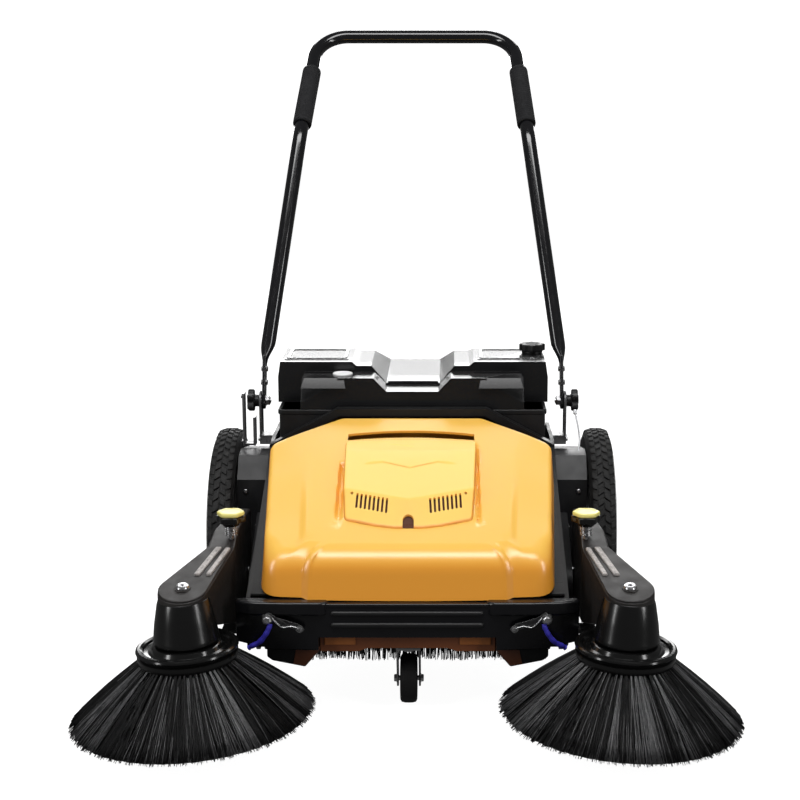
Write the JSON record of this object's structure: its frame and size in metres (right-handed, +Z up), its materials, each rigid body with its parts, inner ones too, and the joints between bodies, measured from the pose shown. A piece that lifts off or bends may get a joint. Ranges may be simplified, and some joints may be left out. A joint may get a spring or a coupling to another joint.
{
  "type": "walk behind sweeper",
  "caption": "Manual walk-behind sweeper: wheels drive a main roller and tilted side brushes on adjustable arms; rear hopper slides out, handle tilts, front caster swivels.",
  "frame": {"origin": "on the floor, under the middle of the overall box; the wheels and the caster stand at z = 0", "axes": "-Y is the front, the way it is pushed while sweeping; +Y is the handle end; +X is to the right when looking at the front; +Z up"},
  "size_m": [0.99, 1.0826, 1.0365],
  "materials": {
    "body_plastic": "satin",
    "hood_plastic": "satin",
    "skirt_plastic": "satin",
    "gloss_plastic_black": "gloss",
    "tyre_rubber": "matte",
    "rubber": "matte",
    "grip_foam": "matte",
    "steel": "satin",
    "painted_steel": "gloss",
    "knob_yellow": "satin",
    "sleeve_blue": "satin",
    "bristle": "matte",
    "pale_plastic": "satin"
  },
  "bodies": {
    "chassis": {"chassis": "body_plastic", "bumper": "body_plastic", "front_skirt": "skirt_plastic", "hood": "hood_plastic", "vent_panel": "hood_plastic", "left_belt_guard": "body_plastic", "right_belt_guard": "body_plastic", "left_stub_axle": "steel", "right_stub_axle": "steel", "left_handle_bracket": "painted_steel", "right_handle_bracket": "painted_steel", "left_drive_belt": "rubber", "right_drive_belt": "rubber", "left_tie_link": "steel", "right_tie_link": "steel", "left_tie_sleeve": "sleeve_blue", "right_tie_sleeve": "sleeve_blue", "left_stay": "painted_steel", "right_wire": "steel", "caster_plate": "steel"},
    "left_wheel": {"left_tyre": "tyre_rubber", "left_rim": "body_plastic", "left_hub_cap": "body_plastic"},
    "right_wheel": {"right_tyre": "tyre_rubber", "right_rim": "body_plastic", "right_hub_cap": "body_plastic"},
    "roller": {"roller_core": "body_plastic", "roller_bristles": "bristle", "left_roller_pulley": "body_plastic"},
    "right_pulley": {"right_roller_pulley": "body_plastic"},
    "left_arm": {"left_arm_housing": "body_plastic", "left_arm_cover": "body_plastic", "left_side_belt": "rubber", "left_knob_spring": "steel"},
    "right_arm": {"right_arm_housing": "body_plastic", "right_arm_cover": "body_plastic", "right_side_belt": "rubber", "right_knob_spring": "steel"},
    "left_arm_knob": {"left_knob": "body_plastic", "left_knob_cap": "knob_yellow"},
    "right_arm_knob": {"right_knob": "body_plastic", "right_knob_cap": "knob_yellow"},
    "left_brush": {"left_brush_spindle": "body_plastic", "left_brush_disc": "gloss_plastic_black", "left_brush_bristles": "bristle"},
    "right_brush": {"right_brush_spindle": "body_plastic", "right_brush_disc": "gloss_plastic_black", "right_brush_bristles": "bristle"},
    "hopper": {"hopper_bin": "body_plastic", "hopper_lid": "body_plastic", "lid_plug": "pale_plastic"},
    "hopper_cap": {"hopper_cap": "body_plastic"},
    "handle": {"handle_tube": "painted_steel", "left_grip": "grip_foam", "right_grip": "grip_foam"},
    "left_clamp": {"left_handle_knob": "body_plastic"},
    "right_clamp": {"right_handle_knob": "body_plastic"},
    "caster_swivel": {"caster_fork": "steel", "caster_axle": "steel"},
    "caster_wheel": {"caster_wheel": "rubber"}
  },
  "joints": [
    {"name": "left_wheel_spin", "type": "hinge", "parent": "chassis", "child": "left_wheel", "pos_m": [-0.322, 0.16076, 0.172], "axis": [1, 0, 0], "continuous": true},
    {"name": "right_wheel_spin", "type": "hinge", "parent": "chassis", "child": "right_wheel", "pos_m": [0.322, 0.16076, 0.172], "axis": [1, 0, 0], "continuous": true},
    {"name": "roller_spin", "type": "hinge", "parent": "chassis", "child": "roller", "pos_m": [0, -0.04924, 0.13], "axis": [1, 0, 0], "continuous": true},
    {"name": "right_pulley_spin", "type": "hinge", "parent": "chassis", "child": "right_pulley", "pos_m": [0.264, -0.04924, 0.13], "axis": [1, 0, 0], "continuous": true},
    {"name": "left_arm_lift", "type": "hinge", "parent": "chassis", "child": "left_arm", "pos_m": [-0.28, -0.04924, 0.13], "axis": [-1, 0, 0], "range_deg": [-3, 1]},
    {"name": "right_arm_lift", "type": "hinge", "parent": "chassis", "child": "right_arm", "pos_m": [0.28, -0.04924, 0.13], "axis": [-1, 0, 0], "range_deg": [-3, 1]},
    {"name": "left_arm_knob_turn", "type": "hinge", "parent": "left_arm", "child": "left_arm_knob", "pos_m": [-0.272, -0.20924, 0.28], "axis": [0, 0, 1], "range_deg": [0, 360]},
    {"name": "right_arm_knob_turn", "type": "hinge", "parent": "right_arm", "child": "right_arm_knob", "pos_m": [0.272, -0.20924, 0.28], "axis": [0, 0, 1], "range_deg": [0, 360]},
    {"name": "left_brush_spin", "type": "hinge", "parent": "left_arm", "child": "left_brush", "pos_m": [-0.314, -0.35924, 0.03], "axis": [-0.0523, -0.0087, 0.9986], "continuous": true},
    {"name": "right_brush_spin", "type": "hinge", "parent": "right_arm", "child": "right_brush", "pos_m": [0.314, -0.35924, 0.03], "axis": [0.0523, -0.0087, 0.9986], "continuous": true},
    {"name": "hopper_slide", "type": "slide", "parent": "chassis", "child": "hopper", "axis": [0, 1, 0], "range_m": [0, 0.36]},
    {"name": "hopper_cap_turn", "type": "hinge", "parent": "hopper", "child": "hopper_cap", "pos_m": [0.211, 0.24676, 0.475], "axis": [0, 0, 1], "range_deg": [0, 360]},
    {"name": "handle_tilt", "type": "hinge", "parent": "chassis", "child": "handle", "pos_m": [0, 0.14576, 0.4], "axis": [1, 0, 0], "range_deg": [-20, 35]},
    {"name": "left_clamp_turn", "type": "hinge", "parent": "chassis", "child": "left_clamp", "pos_m": [-0.28, 0.14576, 0.4], "axis": [1, 0, 0], "range_deg": [0, 360]},
    {"name": "right_clamp_turn", "type": "hinge", "parent": "chassis", "child": "right_clamp", "pos_m": [0.28, 0.14576, 0.4], "axis": [1, 0, 0], "range_deg": [0, 360]},
    {"name": "caster_swivel_turn", "type": "hinge", "parent": "chassis", "child": "caster_swivel", "pos_m": [0, -0.25124, 0.09], "axis": [0, 0, 1], "continuous": true},
    {"name": "caster_wheel_spin", "type": "hinge", "parent": "caster_swivel", "child": "caster_wheel", "pos_m": [0, -0.22924, 0.038], "axis": [1, 0, 0], "continuous": true}
  ],
  "couplings": [
    {"joint": "roller_spin", "follows": "left_wheel_spin", "ratio": 2.1212},
    {"joint": "right_pulley_spin", "follows": "right_wheel_spin", "ratio": 2.1212},
    {"joint": "left_brush_spin", "follows": "left_wheel_spin", "ratio": 2.1212},
    {"joint": "right_brush_spin", "follows": "right_wheel_spin", "ratio": -2.1212}
  ]
}
